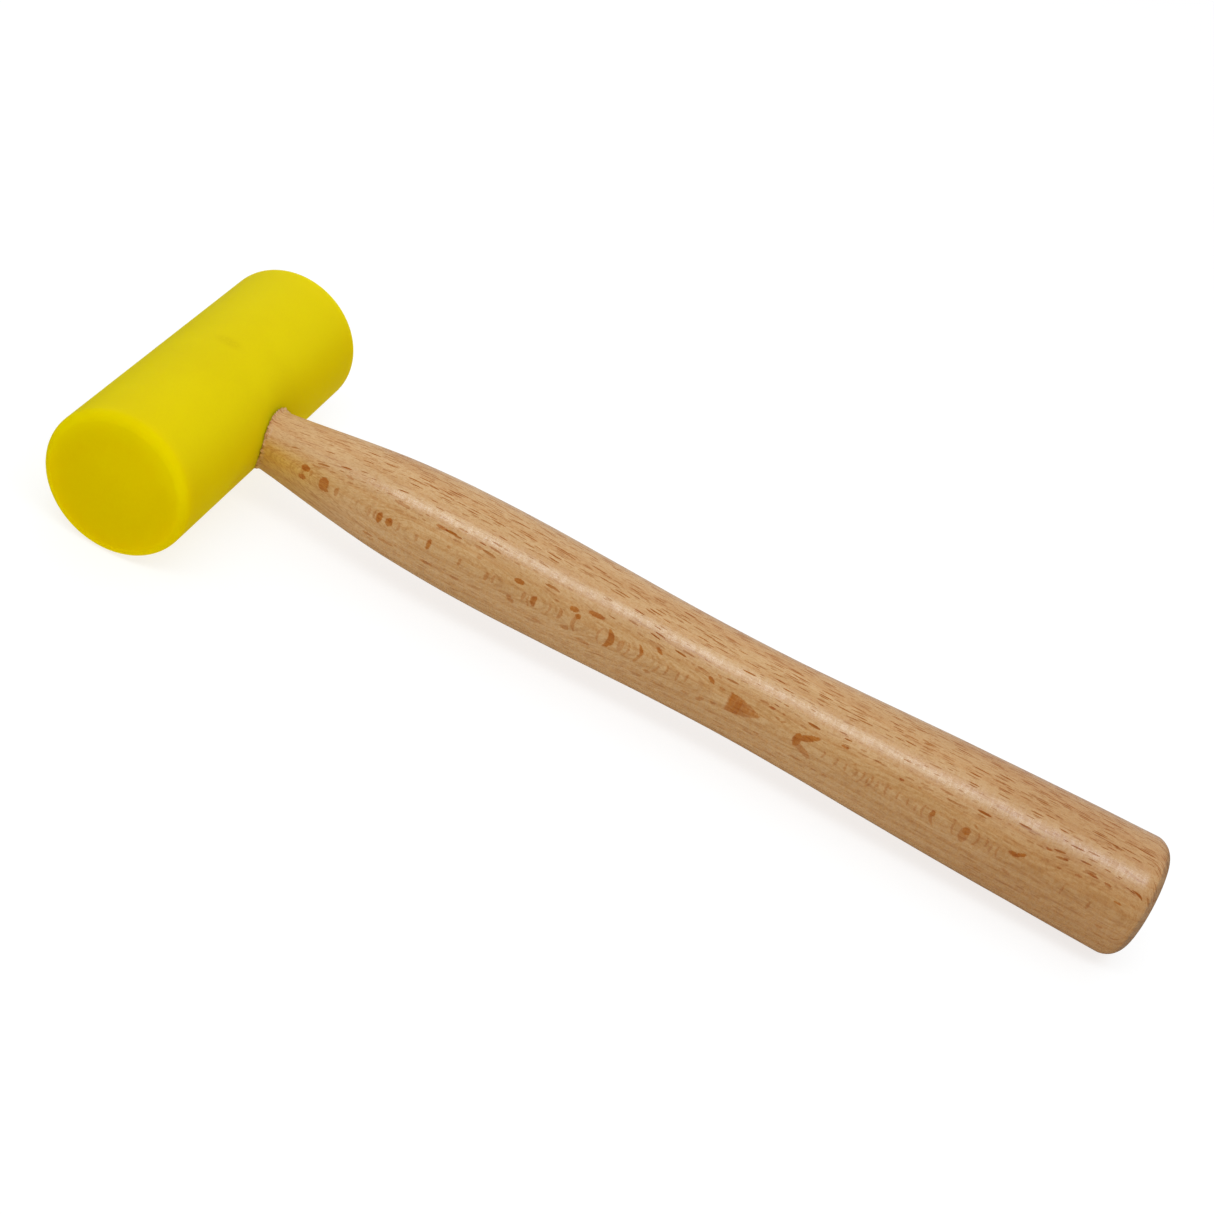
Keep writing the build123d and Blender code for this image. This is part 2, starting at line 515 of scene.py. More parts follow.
def head_mesh():
    half = HEAD_LENGTH / 2
    flat = half - HEAD_EDGE_RADIUS
    across_hole = [SQUARE_HALF * (2 * i / EYE_SIDES - 1) for i in range(EYE_SIDES + 1)]
    outside = [SQUARE_HALF + (flat - SQUARE_HALF) * i / BARREL_CELLS
               for i in range(1, BARREL_CELLS + 1)]
    columns = [-y for y in reversed(outside)] + across_hole + outside
    half_turn = pi * HEAD_RADIUS
    gap = [SQUARE_HALF + (half_turn - 2 * SQUARE_HALF) * i / GAP_CELLS
           for i in range(1, GAP_CELLS)]
    far_hole = [half_turn + arc for arc in across_hole]
    arcs = across_hole + gap + far_hole + [half_turn + arc for arc in gap]
    skins = [barrel_skin(columns, arcs)]

    for end in (-1, 1):
        rings = []
        for i in range(RIM_CELLS + 1):
            turn = i / RIM_CELLS * pi / 2
            y = end * (flat + HEAD_EDGE_RADIUS * sin(turn))
            radius = HEAD_RADIUS - HEAD_EDGE_RADIUS * (1 - cos(turn))
            rings.append([on_barrel(y, arc, radius=radius) for arc in arcs])
        face_radius = HEAD_RADIUS - HEAD_EDGE_RADIUS
        inner = [face_radius * (1 - i / FACE_CELLS) for i in range(1, FACE_CELLS)]
        for radius in [face_radius - FACE_EDGE, *inner]:
            rings.append([on_barrel(end * half, arc, radius=radius) for arc in arcs])
        skins += [loft(rings), fan(rings[-1], (0.0, end * half, 0.0))]

    mouth, top = eye_patch(1), eye_patch(-1)
    skins += [loft(mouth), loft(top), eye_wall(mouth[-1], top[-1])]
    return build_mesh("head", skins)


def head_plastic():
    """Turned yellow nylon: almost no blue, softly glossy, with painted shade near the handle."""
    paint = new_material("yellow_nylon")
    place = paint.millimetres(TOOL)
    x, y, z = paint.split(place)
    radius = paint.length(paint.join(x, 0.0, z))
    clouds = paint.noise(place, (26.0, 26.0, 26.0), detail=3.0)
    speckle = paint.noise(place, (0.7, 0.7, 0.7), detail=4.0, roughness=0.7)
    tone = paint.plus(paint.step(clouds, 0.3, 0.7, -0.5, 0.5),
                      paint.step(speckle, 0.2, 0.8, -0.3, 0.3))
    colour = paint.mix(paint.step(tone, -0.7, 0.7), YELLOW_DEEP, YELLOW_PALE)

    # the sawn faces are a shade deeper and more orange than the barrel, as painted shade;
    # painted light makes the upper part of each face paler, and painted shade darkens the rim's
    # lower side
    on_face = paint.step(paint.math("ABSOLUTE", y), HEAD_LENGTH / 2 - 2.2, HEAD_LENGTH / 2 - 0.1)
    colour = paint.stain(colour, on_face, FACE_SHADE_TINT)
    lit_face_top = paint.times(on_face, paint.step(radius, 11.0, 16.5))
    lit_face_top = paint.times(lit_face_top, paint.step(z, -6.0, 12.0))
    colour = paint.stain(colour, lit_face_top, FACE_TOP_LIGHT_TINT)
    rim = paint.step(radius, HEAD_RADIUS - 2.6, HEAD_RADIUS - 0.6)
    rim = paint.times(paint.times(on_face, rim), paint.step(z, 8.0, -4.0))
    colour = paint.stain(colour, rim, RIM_SHADE_TINT)

    # painted shade: the lower half is deeper too, and most of all the belly
    low = paint.step(z, 12.0, -6.0)
    colour = paint.stain(colour, low, LOW_SHADE_TINT)
    belly = paint.times(paint.step(paint.minus(z, x), 6.0, -14.0), paint.minus(1.0, on_face))
    colour = paint.stain(colour, belly, BELLY_SHADE_TINT)

    # painted shade round the handle, and a faint darker patch on top
    for middle, reach, tint in NECK_SHADE:
        from_middle = paint.length(paint.vector("SUBTRACT", place, middle))
        ragged = paint.plus(from_middle, paint.step(clouds, 0.3, 0.7, -1.5, 1.5))
        colour = paint.stain(colour, paint.step(ragged, reach, 0.4 * reach), tint)
    # a faint darker speckled patch on top of the barrel
    top_patch_at = paint.vector("DIVIDE", paint.vector("SUBTRACT", place, TOP_PATCH_AT), TOP_PATCH_SIZE)
    top_patch = paint.times(paint.step(paint.length(top_patch_at), 1.2, 0.1),
                        paint.step(speckle, 0.3, 0.6))
    colour = paint.stain(colour, top_patch, TOP_PATCH_TINT)

    paint.give("Base Color", colour)
    paint.give("Roughness", paint.step(speckle, 0.25, 0.75, 0.42, 0.52))
    paint.give("IOR", 1.15)
    paint.give("Specular Tint", YELLOW_GLOSS)
    paint.give("Subsurface Weight", 1.0)
    paint.give("Subsurface Radius", (1.0, 0.9, 0.05))
    paint.give("Subsurface Scale", 7.0 * MM)

    # a fine texture all over, with turned rings on the faces
    rings = paint.noise(paint.join(radius, 0.0, 0.0), (0.5, 1.0, 1.0), detail=1.0)
    height = paint.plus(speckle, paint.times(rings, on_face))
    paint.bump(height, 0.02)
    return paint.material


# -------- handle
HANDLE_SIDES = 240
# Rings near the head, closest where the handle enters it, as runs: first station, step, count
NECK_RUNS = ((-12.0, 2.0, 14), (15.0, 1.0, 3), (17.6, 0.4, 1), (18.0, 0.14, 22), (21.2, 0.45, 7))
HANDLE_FROM, HANDLE_CELLS = 24.5, 150       # evenly from here to the butt's rounded edge
BUTT_CELLS, CROWN_CELLS = 16, 8             # over that edge, and across the tenon's end
BUTT_RINGS = (0.85, 0.7, 0.55, 0.4, 0.25, 0.1)      # shares of the butt's flat end


def clamped_spline(xs, ys, first_slope, last_slope):
    """Slopes at the points of the cubic spline through them, with both end slopes given."""
    gap, rise = np.diff(xs), np.diff(ys) / np.diff(xs)
    system, right = np.eye(len(xs)), np.zeros(len(xs))
    right[0], right[-1] = first_slope, last_slope
    for i in range(1, len(xs) - 1):
        system[i, i - 1:i + 2] = gap[i], 2 * (gap[i - 1] + gap[i]), gap[i - 1]
        right[i] = 3 * (gap[i] * rise[i - 1] + gap[i - 1] * rise[i])
    return np.linalg.solve(system, right)


OUTLINE_SLOPES = clamped_spline(OUTLINE_AT, OUTLINE_RADII, NECK_SLOPE, BUTT_SLOPE)


def handle_radius(x):
    """Radius of the turned handle at a distance from the head's centre."""
    if x <= HEAD_RADIUS:
        return eye_radius(x)
    last = OUTLINE_AT[-1]
    if x >= last:
        inset = BUTT_EDGE_RADIUS ** 2 - (x - last) ** 2
        return OUTLINE_RADII[-1] - BUTT_EDGE_RADIUS + sqrt(max(inset, 0.0))
    i = max(k for k in range(len(OUTLINE_AT) - 1) if OUTLINE_AT[k] <= x)
    gap = OUTLINE_AT[i + 1] - OUTLINE_AT[i]
    t = (x - OUTLINE_AT[i]) / gap
    return (
        OUTLINE_RADII[i] * (1 + 2 * t) * (1 - t) ** 2
        + OUTLINE_SLOPES[i] * gap * t * (1 - t) ** 2
        + OUTLINE_RADII[i + 1] * t * t * (3 - 2 * t)
        - OUTLINE_SLOPES[i + 1] * gap * t * t * (1 - t)
    )


# The line where the handle enters the head isn't flat. Rings before the first station and past
# the last are flat, and rings between the two in the middle follow the line.
LINE_STATIONS = (6.0, 14.0, 20.5, 24.0)
# Crushed fibres stand proud of the outline where the handle enters the head, in a collar that
# fades over its reach. Its height varies, and its edge moves along the handle by its jags.
COLLAR_FROM, COLLAR_TO = -0.8, 4.0          # past that line
COLLAR_HEIGHT, COLLAR_VARIES, COLLAR_LEAST = 0.36, 0.95, 0.05
COLLAR_REACH, COLLAR_JAGS = 0.60, 0.55
UNEVENNESS = 0.05             # of the turned surface


def follow_line(station):
    """How far a ring follows the line where the handle enters the head, from 0 to 1."""
    flat, bent, still_bent, flat_again = LINE_STATIONS
    into_bend = (station - flat) / (bent - flat)
    out_of_bend = (flat_again - station) / (flat_again - still_bent)
    return max(min(into_bend, out_of_bend, 1.0), 0.0)


def handle_point(station, turn):
    """A point of the handle's skin: the turned outline with its small unevenness."""
    c, s = cos(turn), sin(turn)
    entry = eye_edge(turn, 1)[0] - HEAD_RADIUS
    x = station + entry * follow_line(station)
    radius = handle_radius(x)
    past = station - HEAD_RADIUS
    if COLLAR_FROM < past < COLLAR_TO:
        ragged = noise.noise(Vector((9.0 * c, 9.0 * s, 0.8 * past)))
        fade = exp(-(past / COLLAR_REACH) ** 2)
        radius += max(COLLAR_HEIGHT + COLLAR_VARIES * ragged, COLLAR_LEAST) * fade
        fine = noise.noise(Vector((24.0 * c, 24.0 * s, 3.0 * past)))
        radius += UNEVENNESS * fine * exp(-past / 1.5)
        x += COLLAR_JAGS * noise.noise(Vector((17.0 * c, 17.0 * s, 5.0))) * fade
    if past > COLLAR_TO and x < OUTLINE_AT[-1]:
        radius += UNEVENNESS * noise.noise(Vector((1.1 * c, 1.1 * s, x / 14.0)))
    return x, radius * c, radius * s


def handle_rings():
    """Rings of the skin from inside the tenon to the butt's middle."""
    turns = [2 * pi * i / HANDLE_SIDES for i in range(HANDLE_SIDES)]
    stations = [first + step * i for first, step, count in NECK_RUNS for i in range(count)]
    last = OUTLINE_AT[-1]
    stations += [HANDLE_FROM + (last - HANDLE_FROM) * i / HANDLE_CELLS
                 for i in range(HANDLE_CELLS + 1)]
    stations += [last + BUTT_EDGE_RADIUS * sin(i / BUTT_CELLS * pi / 2)
                 for i in range(1, BUTT_CELLS + 1)]
    rings = [[handle_point(station, turn) for turn in turns] for station in stations]
    end_radius = OUTLINE_RADII[-1] - BUTT_EDGE_RADIUS
    rings += [[(HANDLE_END, end_radius * share * cos(turn), end_radius * share * sin(turn))
               for turn in turns] for share in BUTT_RINGS]
    return rings


def crown_rings(first):
    """The tenon's end, dressed flush with the barrel, from its middle out to the eye."""
    rings = []
    for i in range(1, CROWN_CELLS + 1):
        reach = EYE_TOP_RADIUS * i / CROWN_CELLS
        ring = []
        for _, y, z in first:
            size = sqrt(y * y + z * z)
            y, z = y / size * reach, z / size * reach
            ring.append((-sqrt(HEAD_RADIUS ** 2 - z * z), y, z))
        rings.append(ring)
    return rings + [first]


def prism(name, profile, depth, axis):
    """A closed prism from half heights at places along X; depth is its half width on axis."""
    rings = []
    for x, half in profile:
        corners = ((half, -depth), (half, depth), (-half, depth), (-half, -depth))
        rings.append([(x, b, a) if axis == "Y" else (x, a, b) for a, b in corners])
    ends = [(rings[0], [(0, 1, 2, 3)]), (rings[-1], [(0, 1, 2, 3)])]
    return build_mesh(name, [loft(rings), *ends])


PAST_CROWN = 5.0              # how far the cutters stand out of the head
KERF_HALF_WIDTH = 12.0        # wider than the tenon
BARB_BACK = 0.01              # length along the wedge of a barb's steep side


def kerf_profile():
    """Half thicknesses of the saw kerf, which the wooden wedge fills down to its tip."""
    slope = (WEDGE_THICK_END - WEDGE_THIN_END) / 2 / WEDGE_LENGTH
    tip = WEDGE_LENGTH - HEAD_RADIUS
    thin = WEDGE_THIN_END / 2
    mouth = WEDGE_THICK_END / 2 + slope * PAST_CROWN
    return (-HEAD_RADIUS - PAST_CROWN, mouth), (tip, thin), (tip + KERF_PAST_WEDGE, thin)


def steel_profile():
    """Half thicknesses of the steel wedge from its struck end to its tip, with barbs."""
    start = STEEL_SUNK - HEAD_RADIUS
    stage = STEEL_LENGTH / STEEL_BARBS
    fall = (STEEL_THICKNESS - STEEL_TIP) / 2 / STEEL_BARBS
    side = []
    for barb in range(STEEL_BARBS):
        half = STEEL_THICKNESS / 2 - barb * fall
        side.append((start + barb * stage, half))
        end = start + (barb + 1) * stage - BARB_BACK
        side.append((end, half - fall - STEEL_BARB_STEP / 2))
    return side


def handle_mesh():
    rings = handle_rings()
    crown = crown_rings(rings[0])
    middle = (-HEAD_RADIUS, 0.0, 0.0)
    whole = build_mesh("handle", [
        loft(rings), fan(rings[-1], (HANDLE_END, 0.0, 0.0)), loft(crown), fan(crown[0], middle)])
    kerf = prism("kerf", kerf_profile(), KERF_HALF_WIDTH, "Y")
    steel = steel_profile()
    mouth = (-HEAD_RADIUS - PAST_CROWN, steel[0][1])
    slot = prism("slot", [mouth, *steel], STEEL_WIDTH / 2, "Z")
    return carve(whole, kerf, slot)


# The wood's own frame: X along the grain, Y across the rays, Z along the rays towards the bark.
# On the quartered line, 165 degrees round the handle, the rays lie flat on the surface.
QUARTERED = radians(165.0)
WOOD = TOOL @ Matrix.Rotation(QUARTERED, 4, "X")
GRAIN_RUNOUT = 0.0288         # sideways per millimetre along the handle
RUNOUT_FROM = 161.0           # where the grain crosses the handle's axis
SWAY, DRIFT = 1.6, 9.0        # millimetres across and along the grain
RING_WIDTH, RING_START = 2.7, 40.15
SPARSE_BAND = 37.0            # degrees above the quartered line, where small rays are fewer

# Broad rays near the quartered line, from the darkest to the faintest. Each is a stroke, its
# place along the handle, its degrees off the line (positive is downwards), its half length
# along the grain and its half height round the handle.
BOLD_FLECKS = (
    ("|", 31.3, 7.5, 0.95, 0.6), ("|", 31.4, -7.0, 1.1, 0.75), ("|", 37.2, 0.0, 1.2, 1.6),
    ("|", 38.2, 6.3, 0.8, 0.42), ("|", 53.5, 0.5, 0.72, 1.25), ("|", 56.2, 0.0, 0.88, 1.0),
    ("|", 67.4, 0.0, 0.52, 1.3), ("|", 68.6, -22.8, 1.45, 0.34), ("|", 91.2, -11.2, 1.2, 0.6),
    ("(", 96.2, 0.5, 0.7, 1.25), ("|", 106.0, -12.3, 1.05, 0.62), ("|", 107.6, -7.0, 0.65, 0.6),
    ("|", 111.4, -17.8, 1.9, 0.55), (")", 117.1, -0.5, 0.82, 2.2), (")", 124.9, -5.5, 0.48, 1.2),
    ("/", 128.7, -15.2, 0.95, 0.42), ("/", 142.9, -13.8, 0.95, 0.46),
    ("|", 158.7, -18.2, 0.8, 0.26), ("|", 167.3, 0.0, 0.95, 1.6), ("\\", 169.4, -6.8, 2.6, 0.78),
    ("|", 178.2, -18.0, 0.95, 0.25), ("|", 193.4, -16.0, 0.6, 0.25),
    ("|", 203.5, -1.0, 0.52, 0.8), ("|", 212.3, -1.6, 0.9, 0.9), ("|", 224.3, -4.4, 1.15, 0.5),
    ("\\", 225.8, -6.1, 1.15, 0.5), ("|", 231.0, -23.0, 0.75, 0.22),
    ("|", 242.7, -20.6, 1.35, 0.24), ("|", 246.6, -19.8, 0.95, 0.2),
    ("|", 250.6, -9.7, 0.95, 0.22),
)
SOFT_FLECKS = (
    ("(", 40.9, 0.5, 0.55, 1.05), ("|", 42.5, -24.8, 1.1, 0.24), ("|", 52.0, 29.5, 1.4, 0.36),
    ("|", 57.0, 25.8, 2.0, 0.36), ("|", 57.3, -25.5, 2.0, 0.32), ("|", 68.4, 21.5, 1.3, 0.4),
    ("|", 76.0, 1.0, 0.35, 0.95), ("|", 78.8, -22.8, 1.2, 0.3), ("|", 83.4, 1.0, 0.5, 1.0),
    ("/", 90.9, 11.0, 1.1, 0.6), ("|", 93.6, 1.0, 0.45, 1.0), (")", 103.5, -0.5, 0.48, 1.3),
    ("|", 105.7, 11.2, 1.05, 0.5), ("(", 107.0, 0.5, 0.48, 2.1), ("|", 111.0, 16.8, 1.85, 0.4),
    (")", 124.7, 4.0, 0.38, 1.2), ("|", 128.2, 13.3, 0.9, 0.38), ("\\", 142.3, 12.8, 0.85, 0.6),
    ("/", 144.2, -21.8, 0.6, 0.26), ("|", 145.6, 9.5, 0.7, 0.34), ("|", 146.1, -10.7, 0.7, 0.3),
    ("|", 158.0, 17.3, 0.7, 0.24), ("|", 161.9, -17.8, 0.42, 0.24),
    ("\\", 162.5, -10.0, 0.6, 0.22), ("/", 169.3, 7.2, 2.5, 0.78), ("|", 177.0, 22.3, 0.8, 0.22),
    ("|", 186.4, 2.0, 0.28, 0.7), ("|", 197.9, -17.5, 0.36, 0.2), ("(", 203.4, 3.5, 0.45, 1.6),
    ("|", 205.0, -20.7, 0.48, 0.2), ("|", 212.1, 2.6, 1.1, 1.95), ("/", 213.8, -9.5, 0.6, 0.26),
    ("|", 235.0, -12.5, 0.48, 0.26), ("|", 235.6, -22.0, 0.48, 0.2),
    ("|", 239.7, -14.7, 0.8, 0.24), ("|", 249.7, 19.2, 0.95, 0.32),
)
FAINT_FLECKS = (
    ("|", 30.9, 0.0, 0.45, 1.0), ("|", 33.2, -4.0, 0.4, 0.75), ("|", 33.5, -16.5, 1.3, 0.2),
    ("|", 50.6, 1.0, 0.38, 1.0), ("|", 52.1, 0.5, 0.24, 0.9), (")", 58.9, 0.0, 0.28, 1.1),
    ("|", 64.0, 0.0, 0.35, 0.95), ("|", 72.2, -8.0, 0.55, 0.32), ("|", 76.3, 21.0, 1.15, 0.36),
    ("|", 80.0, -13.0, 0.65, 0.32), ("|", 85.2, 0.0, 0.35, 1.0), ("(", 94.9, 3.5, 0.28, 1.2),
    ("|", 98.8, 20.0, 1.0, 0.34), (")", 100.6, 0.0, 0.28, 1.4), ("|", 101.3, -12.0, 0.6, 0.26),
    ("(", 113.6, 0.0, 0.28, 1.9), ("|", 119.8, 0.0, 0.75, 1.3), (")", 121.9, 1.0, 0.28, 1.8),
    (")", 129.9, 5.5, 0.32, 1.05), (")", 132.4, 1.0, 0.26, 1.3), ("|", 135.2, 1.0, 0.32, 1.1),
    ("|", 137.3, -2.0, 0.32, 0.95), ("|", 138.5, 14.5, 1.0, 0.34),
    ("|", 138.8, -16.2, 0.55, 0.26), ("|", 161.0, -11.0, 0.5, 0.24), (")", 174.6, 0.5, 0.28, 0.9),
    (")", 178.0, 1.5, 0.26, 1.1), ("(", 180.4, 1.0, 0.28, 0.9), ("\\", 182.1, -7.2, 0.42, 0.24),
    (")", 183.2, 2.5, 0.3, 0.85), (")", 185.2, 2.0, 0.28, 1.6), (")", 187.4, 2.0, 0.26, 1.8),
    (")", 189.0, 1.0, 0.3, 0.9), ("(", 191.2, 1.5, 0.26, 1.3), ("|", 192.0, -2.8, 0.42, 0.26),
    ("(", 194.2, 0.0, 0.28, 1.0), ("(", 197.0, 1.0, 0.26, 0.8), ("|", 199.3, 2.5, 0.3, 0.8),
    ("(", 200.9, 1.0, 0.28, 1.5), ("|", 208.8, -6.0, 0.48, 0.24), ("(", 209.0, 2.5, 0.26, 1.4),
    (")", 215.6, 1.0, 0.28, 1.7), (")", 217.8, -1.0, 0.26, 1.1), ("|", 219.0, 2.0, 0.32, 0.9),
    ("(", 220.6, 2.0, 0.26, 1.2), ("/", 224.8, 15.5, 1.15, 0.38), ("|", 238.0, 4.0, 0.28, 1.2),
    ("|", 245.0, 5.0, 0.32, 0.95),
)
# Where the widest ray starts and ends along the handle, the middle of its height round the
# handle, and its half heights at the two ends
WIDEST_RAY = (148.4, 157.3, -0.30, 2.45, 0.20)
BEND = {"(": 0.20, ")": -0.20}      # bow of a stroke, in mm along the grain per mm squared
LEAN = {"/": 0.45, "\\": -0.45}     # rise of a stroke round the handle per mm along the grain


def stroke_place(stroke, x, arc):
    """A surface point where a stroke's bow and lean are straightened out."""
    return x - BEND.get(stroke, 0.0) * arc * arc, arc - LEAN.get(stroke, 0.0) * x


def stroke_places(paint, x, arc):
    """The same as stroke_place, as nodes, for every kind of stroke."""
    places = {"|": paint.join(x, arc, 0.0)}
    for stroke, bend in BEND.items():
        bow = paint.times(paint.times(arc, arc), bend)
        places[stroke] = paint.join(paint.minus(x, bow), arc, 0.0)
    for stroke, lean in LEAN.items():
        rise = paint.times(x, lean)
        places[stroke] = paint.join(x, paint.minus(arc, rise), 0.0)
    return places


def fleck_mask(paint, places, flecks):
    """1 inside broad rays, 0 outside."""
    nearest = 9.0             # well outside every stroke, in half lengths and half heights
    for stroke, x, off, half_length, half_height in flecks:
        middle = stroke_place(stroke, x, radians(off) * handle_radius(x))
        size = (1 / half_length, 1 / half_height, 0.0)
        from_middle = (-middle[0] / half_length, -middle[1] / half_height, 0.0)
        scaled = paint.vector("MULTIPLY_ADD", places[stroke], size, from_middle)
        nearest = paint.smaller(nearest, paint.length(scaled))
    return paint.step(nearest, 1.24, 1.00)


def broad_ray(paint, place):
    """The widest ray of all: a block that narrows along the grain, with paler lines across it."""
    x, arc, _ = paint.split(place)
    first, last, middle, wide, narrow = WIDEST_RAY
    along = paint.math("DIVIDE", paint.minus(x, first), last - first)
    fullness = paint.minus(1.0, paint.math("POWER", along, 1.9))
    half = paint.plus(narrow, paint.times(fullness, wide - narrow))
    across = paint.math("DIVIDE", paint.math("ABSOLUTE", paint.minus(arc, middle)), half)
    edge = paint.math("ABSOLUTE", paint.minus(paint.times(along, 2.0), 1.0))
    inside = paint.step(paint.larger(across, edge), 1.06, 0.90)
    lines = paint.noise(place, (0.7, 7.0, 1.0), detail=1.0)
    core = paint.step(along, 0.52, 0.40)
    strength = paint.larger(paint.step(core, 0.0, 1.0, 0.70, 1.0),
                            paint.step(across, 0.80, 0.35, 0.0, 0.92))
    strength = paint.times(strength, paint.step(lines, 0.35, 0.5, 0.78, 1.0))
    return paint.times(inside, strength)


def ray_mask(paint, grain, cell, share, small, large):
    """A mask of scattered spindle-shaped rays, each with its own size and strength.

    A share of the cells holds one, and its half width lies between two shares of a cell.
    """
    made = paint.nodes.new("ShaderNodeTexVoronoi")
    made.voronoi_dimensions = "2D"
    made.inputs["Scale"].default_value = 1.0
    paint.feed(made.inputs["Vector"], paint.vector("DIVIDE", grain, (*cell, 1.0)))
    chance, girth, strength = paint.split(made.outputs["Color"])
    radius = paint.step(girth, 0.0, 1.0, small, large)
    depth = paint.math("DIVIDE", paint.minus(radius, made.outputs["Distance"]), radius)
    there = paint.math("LESS_THAN", chance, share)
    inside = paint.times(paint.step(depth, 0.0, 0.15), there)
    return paint.times(inside, paint.step(strength, 0.0, 1.0, 0.55, 1.0))


def eye_line(paint, wood_place):
    """Where along the handle the head's barrel lies at this place round it."""
    _, across, depth = paint.split(wood_place)
    height = paint.plus(paint.times(across, sin(QUARTERED)), paint.times(depth, cos(QUARTERED)))
    return paint.math("SQRT", paint.minus(HEAD_RADIUS ** 2, paint.times(height, height)))


class Wood:
    """Nodes that say where a point lies in the wood, in millimetres and radians.

    x runs along the handle, across lies across the rays and follows the grain's runout, and
    depth lies along the rays. turn and arc go round the handle from the quartered line. grain
    is the same place after the grain has swayed.
    """

    def __init__(self, paint):
        self.plain = paint.millimetres(WOOD)
        self.x, straight, self.depth = paint.split(self.plain)
        self.turn = paint.math("ARCTAN2", self.depth, straight)
        self.off_line = paint.math("ABSOLUTE", self.turn)
        radius = paint.length(paint.join(straight, self.depth, 0.0))
        self.arc = paint.times(self.turn, radius)
        runout = paint.times(paint.minus(self.x, RUNOUT_FROM), GRAIN_RUNOUT)
        self.across = paint.minus(straight, runout)
        here = paint.join(self.x, self.across, self.depth)
        self.sway = paint.wander(here, (30.0, 20.0, 20.0), SWAY)
        drift = paint.times(paint.noise(here, (40.0, 30.0, 7.0), detail=1.0), DRIFT)
        self.grain = paint.join(paint.plus(self.x, drift),
                                paint.plus(self.across, self.sway), self.depth)


def late_wood(paint, wood):
    """A mask of the darker line in which each growth ring ends."""
    ring = paint.plus(paint.math("DIVIDE", wood.depth, RING_WIDTH), paint.times(wood.sway, 0.4))
    ring = paint.math("FRACT", paint.plus(ring, RING_START))
    return paint.times(paint.step(ring, 0.40, 0.92), paint.step(ring, 1.0, 0.95))


def clear_wood(paint, wood, fibre):
    """The colour between the rays: patches, growth rings, fibres, pores and fine ripple."""
    mottle = paint.noise(wood.grain, (0.9, 0.32, 0.45), detail=3.0, roughness=0.6)
    pores = paint.noise(wood.grain, (5.0, 0.11, 0.13), detail=1.0)
    ripple = paint.noise(wood.grain, (9.0, 0.08, 9.0), detail=1.0)
    patch = paint.noise(wood.grain, (34.0, 4.0, 4.0), detail=3.0)
    on_line = paint.step(wood.off_line, radians(38.0), radians(14.0))

    colour = paint.mix(paint.step(patch, 0.3, 0.7), WOOD_DEEP, WOOD_PALE)
    late = paint.times(late_wood(paint, wood), 0.55)
    colour = paint.stain(colour, late, LATE_WOOD_TINT)
    colour = paint.stain(colour, paint.step(fibre, 0.54, 0.68), DARK_FIBRE_TINT)
    colour = paint.stain(colour, paint.step(fibre, 0.44, 0.30), PALE_FIBRE_TINT)
    colour = paint.stain(colour, paint.step(mottle, 0.50, 0.60), DARK_MOTTLE_TINT)
    colour = paint.stain(colour, paint.step(mottle, 0.46, 0.38), PALE_MOTTLE_TINT)
    colour = paint.stain(colour, paint.step(pores, 0.60, 0.74), PORE_TINT)
    ripples = paint.times(paint.step(ripple, 0.45, 0.62), on_line)
    return paint.stain(colour, ripples, RIPPLE_TINT)


def lit_neck_and_darker_butt(paint, wood, colour):
    """Warms the neck with painted light from the yellow head, and darkens the handle towards the
    butt, most on its lower side.
    """
    warm = paint.times(paint.step(wood.x, 46.0, 20.0),
                       paint.step(wood.turn, radians(-32.0), radians(8.0)))
    colour = paint.stain(colour, warm, WARM_TINT)
    # darker towards the butt, more so on the lower side
    towards_butt = paint.plus(paint.step(wood.x, 60.0, 120.0, 0.0, 0.25),
                      paint.step(wood.x, 170.0, 245.0, 0.0, 0.75))
    lower_side = paint.step(wood.turn, radians(-20.0), radians(25.0), 1.0, 1.25)
    return paint.stain(colour, paint.times(towards_butt, lower_side), BUTTWARD_TINT)


def small_rays(paint, wood):
    """Masks of long faint veins, short specks and the rays proper.

    They are everywhere but on the quartered line, where the broad rays show. They are fewer
    on a band above the line, and larger beyond it.
    """
    unlined = paint.step(wood.off_line, radians(14.0), radians(24.0))
    above = paint.step(wood.turn, radians(8.0), radians(-24.0), 0.45, 1.0)
    above = paint.times(above, paint.step(wood.x, 20.0, 46.0, 0.55, 1.0))
    from_band = paint.math("ABSOLUTE", paint.plus(wood.turn, radians(SPARSE_BAND)))
    share = paint.step(from_band, radians(8.0), radians(18.0), 0.34, 0.95)
    large = paint.step(wood.turn, radians(-46.0), radians(-60.0), 0.21, 0.26)

    rays = ray_mask(paint, wood.grain, (9.5, 0.62), share, 0.08, large)
    rays = paint.times(rays, unlined)
    more = paint.vector("ADD", wood.grain, (4.1, 37.7, 0.0))
    more = ray_mask(paint, more, (8.0, 0.55), paint.times(share, 0.9), 0.08, large)
    more = paint.times(more, unlined)
    rays = paint.times(paint.larger(rays, more), above)

    veins = paint.vector("ADD", wood.grain, (12.6, 71.3, 0.0))
    veins = ray_mask(paint, veins, (21.0, 0.75), 0.75, 0.07, 0.16)
    veins = paint.times(paint.times(veins, unlined), 0.35)

    share = paint.times(share, 0.74)
    specks = ray_mask(paint, wood.grain, (4.5, 0.42), share, 0.1, 0.22)
    fewer = paint.step(wood.off_line, radians(10.0), radians(24.0), 0.25, 0.5)
    specks = paint.times(paint.times(specks, fewer), above)
    return veins, specks, rays


